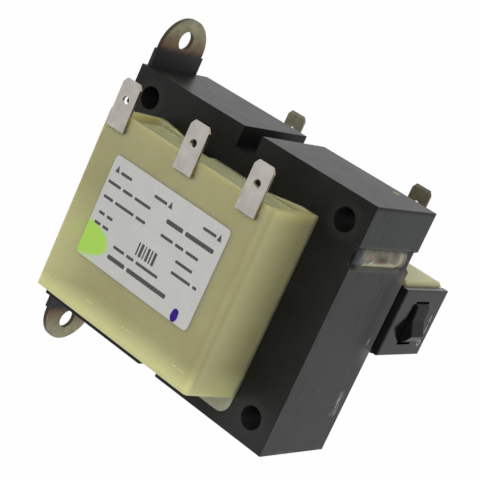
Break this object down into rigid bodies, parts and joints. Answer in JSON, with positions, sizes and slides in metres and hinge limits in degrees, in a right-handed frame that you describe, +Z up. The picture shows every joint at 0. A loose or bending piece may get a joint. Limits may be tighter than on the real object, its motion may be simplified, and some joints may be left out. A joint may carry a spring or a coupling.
{
  "type": "control transformer",
  "caption": "Foot-mounted control transformer: black laminated core, cream coil covers with push-on tabs, blank label and a rocker breaker in a side pocket.",
  "frame": {"origin": "on the mounting plane, half way between the foot's two holes", "axes": "+X along the coil and the foot, away from the terminals; +Y through the stack towards the breaker; +Z up from the panel"},
  "size_m": [0.1016, 0.0754, 0.0921],
  "materials": {
    "core_varnish": "satin",
    "weld_steel": "rough",
    "foot_steel": "satin",
    "cover_nylon": "satin",
    "insulation_card": "matte",
    "tinned_tab": "bright",
    "label_paper": "matte",
    "breaker_black": "gloss",
    "rocker_black": "satin",
    "bobbin_nylon": "satin",
    "magnet_wire": "gloss",
    "winding_tape": "matte",
    "lead_copper": "bright",
    "breaker_base": "matte",
    "breaker_brass": "bright",
    "contact_silver": "bright",
    "breaker_steel": "satin"
  },
  "bodies": {
    "transformer": {"e_lamination_stack": "core_varnish", "i_lamination_stack": "core_varnish", "weld_bead_upper": "weld_steel", "weld_bead_lower": "weld_steel", "mounting_foot": "foot_steel", "front_cover": "cover_nylon", "rear_cover": "cover_nylon", "front_insulation_card": "insulation_card", "rear_insulation_card": "insulation_card", "primary_tab_common": "tinned_tab", "primary_tab_low": "tinned_tab", "primary_tab_high": "tinned_tab", "secondary_tab_direct": "tinned_tab", "secondary_tab_protected": "tinned_tab", "rating_label": "label_paper", "breaker_case": "breaker_black", "bobbin": "bobbin_nylon", "primary_winding": "magnet_wire", "secondary_winding": "magnet_wire", "winding_barrier": "winding_tape", "outer_wrap": "winding_tape", "primary_lead_common": "lead_copper", "primary_lead_low": "lead_copper", "primary_lead_high": "lead_copper", "secondary_lead_direct": "lead_copper", "secondary_lead_breaker": "lead_copper", "breaker_jumper": "lead_copper", "breaker_base": "breaker_base", "line_terminal": "breaker_brass", "load_terminal": "breaker_brass", "fixed_contact": "contact_silver", "moving_contact": "contact_silver", "rocker_pin": "breaker_steel", "bimetal_blade": "breaker_steel", "snap_spring": "breaker_steel"},
    "rocker": {"breaker_rocker": "rocker_black"}
  },
  "joints": [
    {"name": "rocker_pivot", "type": "hinge", "parent": "transformer", "child": "rocker", "pos_m": [-0.0046, 0.0264, 0.08582], "axis": [0, 1, 0], "range_deg": [0, 28]}
  ]
}
